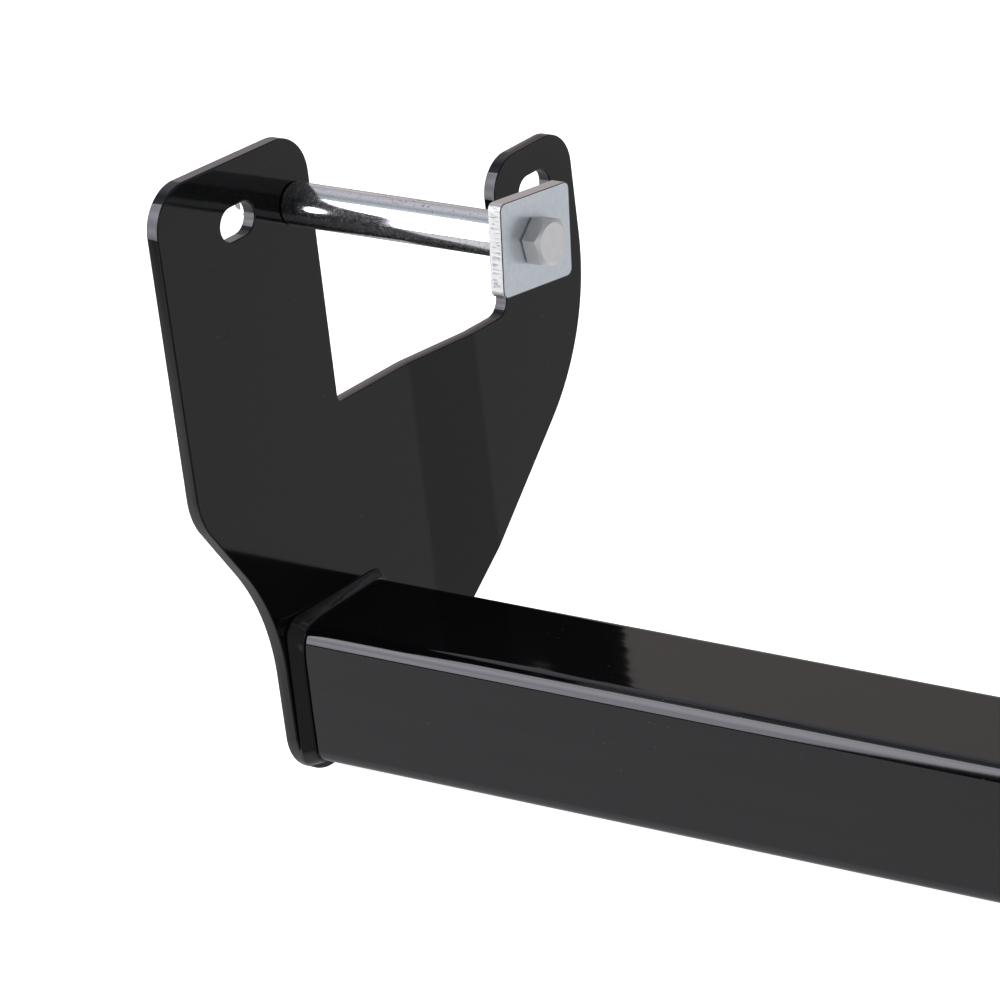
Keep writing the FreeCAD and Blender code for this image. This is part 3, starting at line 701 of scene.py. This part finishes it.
receiver_beads = bmesh.new()
flat_half = BAR_SIDE / 2 - BAR_CORNER
for side in (-1, 1):
    wall = side * RECEIVER_SIDE / 2
    spots = [(wall, BAR_FRONT), (wall + side * RECEIVER_LEG, BAR_FRONT)]
    for step in range(1, FILLET_STEPS):
        angle = step / FILLET_STEPS * math.pi / 2
        slack = 1 - math.sin(2 * angle) * FILLET_HOLLOW
        spots.append((wall + side * RECEIVER_LEG * math.cos(angle) * slack,
                      BAR_FRONT - RECEIVER_LEG * math.sin(angle) * slack))
    spots.append((wall, BAR_FRONT - RECEIVER_LEG))
    profile = [receiver_beads.verts.new((x, y, -flat_half)) for x, y in spots]
    run_on(receiver_beads, receiver_beads.faces.new(profile), (0, 0, 2 * flat_half))
for up in (-1, 1):
    centre = Vector((-RECEIVER_SIDE / 2, BAR_FRONT + BAR_CORNER, up * flat_half))
    first = receiver_beads.verts.new(centre + Vector((0, -BAR_CORNER, 0)))
    swung = bmesh.ops.spin(receiver_beads, geom=[first], cent=centre, axis=ACROSS,
                           angle=-up * math.pi / 2, steps=8)
    last = swung["geom_last"][0]
    crown = receiver_beads.verts.new(centre + Vector((0, -BAR_CORNER, up * BAR_CORNER)))
    rim = [receiver_beads.edges.new((last, crown)), receiver_beads.edges.new((crown, first))]
    arc_edges = []
    here = first
    while here is not last:
        edge = next(edge for edge in here.link_edges if edge not in arc_edges and edge not in rim)
        arc_edges.append(edge)
        here = edge.other_vert(here)
    filled = bmesh.ops.contextual_create(receiver_beads, geom=arc_edges + rim)["faces"][0]
    run_on(receiver_beads, filled, (RECEIVER_SIDE, 0, 0))
bmesh.ops.recalc_face_normals(receiver_beads, faces=receiver_beads.faces)
receiver_beads.normal_update()
ripple(receiver_beads, depth=0.0003, pitch=0.005, grain=0.0001)
settle(receiver_beads, "receiver_beads", weld_coat, "hitch_frame", "receiver_weld")

# Gussets: level braces cut from 6 mm steel plate, welded into the corners between receiver and
# crossbar, and snipped where the upright bead runs.
GUSSET_THICKNESS = 0.006
GUSSET_RIM = 0.0006
GUSSET_CORNERS = [(-9, 0), (0, -9), (0, -36), (-8, -36), (-60, -8), (-60, 0)]
gusset = bmesh.new()
gusset_outline = [
    gusset.verts.new((x / 1000 - RECEIVER_SIDE / 2, BAR_FRONT + y / 1000, -GUSSET_THICKNESS / 2))
    for x, y in GUSSET_CORNERS]
gusset.faces.new(gusset_outline)
grow(gusset, gusset.faces[:], (0, 0, GUSSET_THICKNESS))
soften(gusset, GUSSET_RIM)
right_gusset = mirrored(gusset)
settle(gusset, "left_gusset_brace", plain_coat, "hitch_frame", "left_gusset")
settle(right_gusset, "right_gusset_brace", plain_coat, "hitch_frame", "right_gusset")

# Spacer sleeves: cut steel tube with a bright zinc finish, one round each bolt, which keep the
# vehicle's rail from crushing when the bolt is tightened.
BOLT_Y = 0.0914
BOLT_Z = 0.1994
SLEEVE_LENGTH = 0.1152
SLEEVE_OUTER = 0.009
SLEEVE_BORE = 0.0065
SLEEVE_CHAMFER = 0.0004
# The sleeve's foot, where it stands on the plate, is painted black as a contact shadow.
SLEEVE_FOOT_SHADOW = (0.4691, 0.4695)
SLEEVE_CLEAR = (0.74, 0.75, 0.75, 1)
SLEEVE_SPECK = (0.35, 0.36, 0.34, 1)
FOOT_SHADOW_BLACK = (0.02, 0.02, 0.02, 1)


def turned(profile, steps=96):
    """A form turned about the X axis from (x, radius) pairs; one that starts on the axis is solid."""
    form = bmesh.new()
    verts = [form.verts.new((x, 0, radius)) for x, radius in profile]
    hollow = profile[0][1] > 0
    edges = [form.edges.new(pair) for pair in zip(verts, verts[1:] + verts[:1] * hollow)]
    bmesh.ops.spin(form, geom=verts + edges, cent=(0, 0, 0), axis=ACROSS, angle=2 * math.pi,
                   steps=steps, use_merge=True)
    bmesh.ops.remove_doubles(form, verts=form.verts, dist=1e-7)
    bmesh.ops.recalc_face_normals(form, faces=form.faces)
    return form


def on_bolt(form, x):
    """Moves a form from the origin to its place along the left bolt."""
    bmesh.ops.translate(form, verts=form.verts, vec=(x, BOLT_Y, BOLT_Z))


def bright_zinc():
    """Clear zinc on a drawn tube: a mirror under a thin, finely speckled haze, with a painted contact
    shadow at the foot where the tube stands on the plate."""
    finish, zinc = new_finish("bright_zinc_plate")
    place = zinc.node("TexCoord", output="Object")
    pits = zinc.node("TexNoise", None, {"Vector": place, "Scale": 700.0, "Detail": 2.0})
    patches = zinc.node("TexNoise", None, {"Vector": place, "Scale": 60.0, "Detail": 3.0})
    dull = pits.between(0.60, 0.68) * patches.between(0.42, 0.62)
    across = zinc.sum("ABSOLUTE", zinc.node("SeparateXYZ", None, {0: place}, "X"))
    # Painted contact shadow: the last half millimetre of the sleeve at the plate is painted black.
    painted_foot_shadow = across.between(*SLEEVE_FOOT_SHADOW)
    colour = painted_foot_shadow.mix(dull.mix(SLEEVE_CLEAR, SLEEVE_SPECK), FOOT_SHADOW_BLACK)
    shine = 0.09 + dull * 0.3 + patches.between(0.4, 0.7) * 0.06
    bumped = zinc.node("Bump", None, {"Height": pits * 0.000002, "Strength": 1.0, "Distance": 1.0})
    mirror = zinc.node("BsdfPrincipled", None, {
        "Base Color": colour, "Roughness": shine, "Normal": bumped, "Metallic": 1.0})
    haze = zinc.node("BsdfPrincipled", None, {
        "Base Color": colour, "Roughness": 0.6, "Normal": bumped, "Metallic": 1.0})
    misted = 0.10 + pits.between(0.4, 0.7) * 0.2
    return close(finish, zinc.node("MixShader", None, {0: misted, 1: mirror, 2: haze}))


sleeve_zinc = bright_zinc()
sleeve = turned([(0, SLEEVE_BORE + SLEEVE_CHAMFER), (0, SLEEVE_OUTER - SLEEVE_CHAMFER),
                 (SLEEVE_CHAMFER, SLEEVE_OUTER), (SLEEVE_LENGTH - SLEEVE_CHAMFER, SLEEVE_OUTER),
                 (SLEEVE_LENGTH, SLEEVE_OUTER - SLEEVE_CHAMFER),
                 (SLEEVE_LENGTH, SLEEVE_BORE + SLEEVE_CHAMFER),
                 (SLEEVE_LENGTH - SLEEVE_CHAMFER, SLEEVE_BORE), (SLEEVE_CHAMFER, SLEEVE_BORE)])
on_bolt(sleeve, -BAR_END)
right_sleeve = mirrored(sleeve)
settle(sleeve, "left_sleeve_tube", sleeve_zinc, "left_sleeve", "left_spacer_sleeve")
settle(right_sleeve, "right_sleeve_tube", sleeve_zinc, "right_sleeve", "right_spacer_sleeve")

# Plate washers: rectangles sheared from flat bar, pale zinc, one under each bolt head. Shearing
# rounds the rims a little and leaves short scores across the narrow sides.
WASHER_WIDTH = 0.0436
WASHER_HEIGHT = 0.0378
WASHER_THICKNESS = 0.0065
WASHER_CORNER = 0.003
WASHER_BORE = 0.00655
WASHER_RIM = 0.0005
WASHER_TURN = math.radians(-6.4)
SCORES_START = (0.3490, 0.3498)
SCORES_END = (0.3530, 0.3538)
WASHER_PALE = (0.80, 0.84, 0.88, 1)
WASHER_CLOUD = (0.72, 0.77, 0.82, 1)
EDGE_WARM = (0.74, 0.71, 0.68, 1)
# Partly the sheared sides' own grey, partly painted shade on them.
SHEARED_GREY_AND_SHADE = (0.40, 0.42, 0.39, 1)
# A painted dark reflection for the rounded rims.
RIM_PAINTED_REFLECTION = (0.05, 0.05, 0.05, 1)
SCORE_DARK = (0.12, 0.13, 0.15, 1)


def sheared_zinc():
    """Pale blue-grey zinc, finely mottled, with shear marks on the narrow sides; the sides are painted
    greyer, partly as sheared metal and partly as painted shade, and the rims get a painted dark
    reflection.
    """
    finish, zinc = new_finish("sheared_zinc_plate")
    place = zinc.node("TexCoord", output="Object")
    clouds = zinc.node("TexNoise", None, {"Vector": place, "Scale": 420.0, "Detail": 4.0})
    grain = zinc.node("TexNoise", None, {"Vector": place, "Scale": 1500.0, "Detail": 2.0})
    torn = zinc.node("Mapping", None, {"Vector": place, "Scale": (160.0, 160.0, 1100.0)})
    scores = zinc.node("TexNoise", None, {"Vector": torn, "Scale": 1.0, "Detail": 3.0, "Distortion": 0.5})
    facing = zinc.node("NewGeometry", output="Normal")
    facing_x = zinc.sum("ABSOLUTE", zinc.node("SeparateXYZ", None, {0: facing}, "X"))
    facing_y = zinc.sum("ABSOLUTE", zinc.node("SeparateXYZ", None, {0: facing}, "Y"))
    side = facing_y.between(0.3, 0.7)
    across = zinc.sum("ABSOLUTE", zinc.node("SeparateXYZ", None, {0: place}, "X"))
    torn_here = across.between(*SCORES_START) * (1 - across.between(*SCORES_END))
    marks = side * torn_here * scores.between(0.50, 0.60)
    pale = clouds.between(0.3, 0.7).mix(WASHER_PALE, WASHER_CLOUD)
    warm = (1 - facing_x.between(0.3, 0.7)).mix(pale, EDGE_WARM)
    # The sides are painted greyer: partly the sheared metal's own colour, partly painted shade that keeps
    # the soft box from lighting them too bright.
    sheared_and_shaded = (side * 0.8).mix(warm, SHEARED_GREY_AND_SHADE)
    # Painted dark reflection: a dark line along the rounded rims between the faces and the sides.
    rim = facing_x.between(0.30, 0.50) * (1 - facing_x.between(0.90, 0.99))
    rim_reflection_painted = (rim * 0.85).mix(sheared_and_shaded, RIM_PAINTED_REFLECTION)
    colour = (marks * 0.8).mix(rim_reflection_painted, SCORE_DARK)
    shine = 0.28 + clouds * 0.06 + side * 0.12 - marks * 0.1 - rim * 0.1
    relief = grain * 0.000012 + scores * side * 0.00012
    bumped = zinc.node("Bump", None, {"Height": relief, "Strength": 1.0, "Distance": 1.0})
    return close(finish, zinc.node("BsdfPrincipled", None, {
        "Base Color": colour, "Roughness": shine, "Normal": bumped, "Metallic": 0.85}))


def holed_sheet(form, outline, bore, x):
    """A flat sheet at x with a round hole in its middle."""
    rings = rounded_loop(form, outline, x)
    made = bmesh.ops.create_circle(form, segments=64, radius=bore, matrix=(
        Matrix.Translation((x, 0, 0)) @ Matrix.Rotation(math.pi / 2, 4, "Y")))
    rings += list({edge for vert in made["verts"] for edge in vert.link_edges})
    bmesh.ops.triangle_fill(form, use_beauty=True, use_dissolve=False, edges=rings, normal=ACROSS)


washer_zinc = sheared_zinc()
plate_washer = bmesh.new()
blank = [(y * WASHER_WIDTH / 2, z * WASHER_HEIGHT / 2, WASHER_CORNER)
         for y, z in ((-1, -1), (1, -1), (1, 1), (-1, 1))]
holed_sheet(plate_washer, blank, WASHER_BORE, 0)
slab(plate_washer, 0, WASHER_THICKNESS, WASHER_RIM)
bmesh.ops.rotate(plate_washer, verts=plate_washer.verts, cent=(0, 0, 0),
                 matrix=Matrix.Rotation(WASHER_TURN, 3, "X"))
on_bolt(plate_washer, -BAR_END + SLEEVE_LENGTH)
right_washer = mirrored(plate_washer)
settle(plate_washer, "left_plate_washer_blank", washer_zinc, "left_clamp_plate", "left_plate_washer")
settle(right_washer, "right_plate_washer_blank", washer_zinc, "right_clamp_plate", "right_plate_washer")

# Through bolts: M12 hexagon bolts in dull grey zinc, forged head with a chamfered face and a low round
# seat under it, and a rolled thread where the nut sits.
HEX_FLATS = 0.018
HEX_FACE = 0.0079
HEX_SLOPE = math.tan(math.radians(30))
HEX_PROUD = 0.001
CHAMFER_REACH = 0.003
CHAMFER_TURN = math.radians(20), math.radians(40)
HEAD_HEIGHT = 0.008
HEAD_STEP = 0.0006
STEP_RADIUS = 0.0083
BOLT_RADIUS = 0.00595
THREAD_ROOT = 0.0051
THREAD_PITCH = 0.00175
THREAD_STEPS = 36
BOLT_TURN = math.radians(41)
HEAD_SEAT = -BAR_END + SLEEVE_LENGTH + WASHER_THICKNESS
BOLT_TIP = -0.4983
THREAD_TOP = -0.4700
TIP_CHAMFER = 0.0015
HEAD_RIM = 0.00018
SHANK_START = 0.002
BOLT_PALE = (0.82, 0.82, 0.81, 1)
BOLT_CLOUD = (0.77, 0.77, 0.77, 1)
# Painted shade for the faces that don't face along the bolt, the hexagon's flats among them.
BOLT_FLATS_SHADE = (0.35, 0.37, 0.36, 1)


def grey_zinc():
    """Dull grey zinc over forged steel: soft clouds and tiny dents, with painted shade on the flats."""
    finish, zinc = new_finish("grey_zinc_plate")
    place = zinc.node("TexCoord", output="Object")
    clouds = zinc.node("TexNoise", None, {"Vector": place, "Scale": 240.0, "Detail": 4.0})
    dents = zinc.node("TexNoise", None, {"Vector": place, "Scale": 900.0, "Detail": 2.0})
    pale = clouds.between(0.35, 0.7).mix(BOLT_PALE, BOLT_CLOUD)
    facing = zinc.node("NewGeometry", output="Normal")
    facing_x = zinc.sum("ABSOLUTE", zinc.node("SeparateXYZ", None, {0: facing}, "X"))
    # Painted shade: faces that don't face along the bolt, the hexagon's flats among them, are darkened.
    shaded_flats = 1 - facing_x.between(0.15, 0.4)
    colour = (shaded_flats * 0.3).mix(pale, BOLT_FLATS_SHADE)
    shine = 0.42 + clouds * 0.05
    bumped = zinc.node("Bump", None, {"Height": dents * 0.00001, "Strength": 1.0, "Distance": 1.0})
    return close(finish, zinc.node("BsdfPrincipled", None, {
        "Base Color": colour, "Roughness": shine, "Normal": bumped, "Metallic": 0.75}))


def hexagon(height, turn, both_faces):
    """A hexagon block from x = 0 to height, its corners turned off at 30 degrees. Where a face is
    turned the block is left a little long, and at a plain underside the turned form is."""
    block = bmesh.new()
    low, high = -HEX_PROUD if both_faces else 0, height + HEX_PROUD
    corner_radius = HEX_FLATS / math.sqrt(3)
    placed = Matrix.Rotation(turn, 4, "X") @ Matrix.Translation(((low + high) / 2, 0, 0))
    bmesh.ops.create_cone(block, cap_ends=True, segments=6, radius1=corner_radius, radius2=corner_radius,
                          depth=high - low, matrix=placed @ Matrix.Rotation(math.pi / 2, 4, "Y"))
    rim = HEX_FACE + CHAMFER_REACH
    drop = CHAMFER_REACH * HEX_SLOPE
    lower = [(0, HEX_FACE), (drop, rim)] if both_faces else [(-HEX_PROUD, rim)]
    profile = [(height, 0), (height, HEX_FACE), (height - drop, rim), *reversed(lower)]
    profile.append((profile[-1][0], 0))
    form = carved(block, turned(profile), "INTERSECT")
    for edge in form.edges:
        edge.smooth = not CHAMFER_TURN[0] < edge.calc_face_angle(0) < CHAMFER_TURN[1]
    return form


def thread(start, length, hand):
    """A threaded rod along X: a V-shaped ridge wound about the axis, cut flat at both ends."""
    form = bmesh.new()
    turns = round(length / THREAD_PITCH) + 3
    shape = [(0, THREAD_ROOT), (0.35, BOLT_RADIUS), (0.5, BOLT_RADIUS), (0.85, THREAD_ROOT),
             (1, THREAD_ROOT)]
    verts = [form.verts.new((start - THREAD_PITCH + x * THREAD_PITCH, 0, radius)) for x, radius in shape]
    edges = [form.edges.new(pair) for pair in zip(verts, verts[1:])]
    bmesh.ops.spin(form, geom=verts + edges, cent=(0, 0, 0), axis=ACROSS, angle=hand * 2 * math.pi * turns,
                   dvec=(THREAD_PITCH / THREAD_STEPS, 0, 0), steps=THREAD_STEPS * turns)
    bmesh.ops.remove_doubles(form, verts=form.verts, dist=1e-6)
    for place, facing in ((start, -1), (start + length, 1)):
        cut = bmesh.ops.bisect_plane(form, geom=[*form.verts, *form.edges, *form.faces], dist=1e-7,
                                     plane_co=(place, 0, 0), plane_no=(facing, 0, 0), clear_outer=True)
        rim = [item for item in cut["geom_cut"] if isinstance(item, bmesh.types.BMEdge)]
        bmesh.ops.contextual_create(form, geom=rim)
    bmesh.ops.recalc_face_normals(form, faces=form.faces)
    return form


bolt_zinc = grey_zinc()


def through_bolt(hand):
    """Head with its round seat, shank and thread of the left bolt; hand is the way its thread winds."""
    head = hexagon(HEAD_HEIGHT - HEAD_STEP, BOLT_TURN, False)
    soften(head, HEAD_RIM)
    bmesh.ops.translate(head, verts=head.verts, vec=(HEAD_STEP, 0, 0))
    seat = turned([(0, 0), (0, STEP_RADIUS), (2 * HEAD_STEP, STEP_RADIUS), (2 * HEAD_STEP, 0)])
    shank_end = THREAD_TOP - HEAD_SEAT
    shank = turned([(SHANK_START, 0), (SHANK_START, BOLT_RADIUS),
                    (shank_end, BOLT_RADIUS), (shank_end, 0)], 64)
    wound = thread(BOLT_TIP - HEAD_SEAT, THREAD_TOP - BOLT_TIP, hand)
    tip = BOLT_TIP - HEAD_SEAT
    for vert in wound.verts:
        radius = math.hypot(vert.co.y, vert.co.z)
        limit = BOLT_RADIUS - TIP_CHAMFER + (vert.co.x - tip)
        if radius > limit:
            vert.co.y *= limit / radius
            vert.co.z *= limit / radius
    for extra in (seat, shank, wound):
        mesh = bpy.data.meshes.new("joining")
        extra.to_mesh(mesh)
        extra.free()
        head.from_mesh(mesh)
        bpy.data.meshes.remove(mesh)
    on_bolt(head, HEAD_SEAT)
    return head


settle(through_bolt(1), "left_hex_bolt", bolt_zinc, "left_bolt", "left_through_bolt")
settle(mirrored(through_bolt(-1)), "right_hex_bolt", bolt_zinc, "right_bolt", "right_through_bolt")

# Round washers and nuts: on each bolt's outboard end a stamped flat washer, a split spring washer
# and a hexagon nut, all dull grey zinc.
FLAT_OUTER = 0.012
FLAT_THICKNESS = 0.0025
FLAT_ROUND = 0.0005
LOCK_OUTER = 0.0105
LOCK_BORE = 0.00625
LOCK_THICKNESS = 0.003
LOCK_GAP = 0.002
LOCK_RIM = 0.0003
NUT_HEIGHT = 0.010
NUT_BORE = 0.006
NUT_RIM = 0.0002
NUT_TURN = math.radians(20)
PLATE_BACK = -BAR_END - PLATE_THICKNESS


def flat_washer():
    """Stamped, with a rim that is rounder on the outboard side than against the plate."""
    form = turned([(-FLAT_THICKNESS, WASHER_BORE), (0, WASHER_BORE), (0, FLAT_OUTER - FLAT_ROUND / 2),
                   (-FLAT_ROUND / 2, FLAT_OUTER), (-FLAT_THICKNESS + 2 * FLAT_ROUND, FLAT_OUTER),
                   (-FLAT_THICKNESS + FLAT_ROUND / 2, FLAT_OUTER - FLAT_ROUND),
                   (-FLAT_THICKNESS, FLAT_OUTER - 2.5 * FLAT_ROUND)])
    on_bolt(form, PLATE_BACK)
    return form


def lock_washer():
    """One coil of square wire, drawn pressed flat, with its split at the top."""
    form = bmesh.new()
    half_gap = math.asin(LOCK_GAP / (LOCK_BORE + LOCK_OUTER))
    corners = [(0, LOCK_BORE), (0, LOCK_OUTER),
               (-LOCK_THICKNESS, LOCK_OUTER), (-LOCK_THICKNESS, LOCK_BORE)]
    section = form.faces.new([form.verts.new((x, 0, radius)) for x, radius in corners])
    bmesh.ops.rotate(form, verts=form.verts, cent=(0, 0, 0), matrix=Matrix.Rotation(half_gap, 3, "X"))
    bmesh.ops.spin(form, geom=[*form.verts, *form.edges, section], cent=(0, 0, 0), axis=ACROSS,
                   angle=2 * math.pi - 2 * half_gap, steps=72)
    bmesh.ops.recalc_face_normals(form, faces=form.faces)
    soften(form, LOCK_RIM)
    on_bolt(form, PLATE_BACK - FLAT_THICKNESS)
    return form


def nut():
    """A hexagon with both faces chamfered and a bore for the bolt."""
    block = hexagon(NUT_HEIGHT, NUT_TURN, True)
    form = carved(block, rod(NUT_BORE, 3 * NUT_HEIGHT), "DIFFERENCE")
    soften(form, NUT_RIM)
    on_bolt(form, PLATE_BACK - FLAT_THICKNESS - LOCK_THICKNESS - NUT_HEIGHT)
    return form


for side, placed in (("left", lambda form: form), ("right", mirrored)):
    settle(placed(flat_washer()), f"{side}_flat_washer_ring", bolt_zinc, f"{side}_washer_stack",
           f"{side}_flat_washer")
    settle(placed(lock_washer()), f"{side}_lock_washer_ring", bolt_zinc, f"{side}_washer_stack",
           f"{side}_lock_washer")
    settle(placed(nut()), f"{side}_hex_nut", bolt_zinc, f"{side}_nut_body", f"{side}_nut")
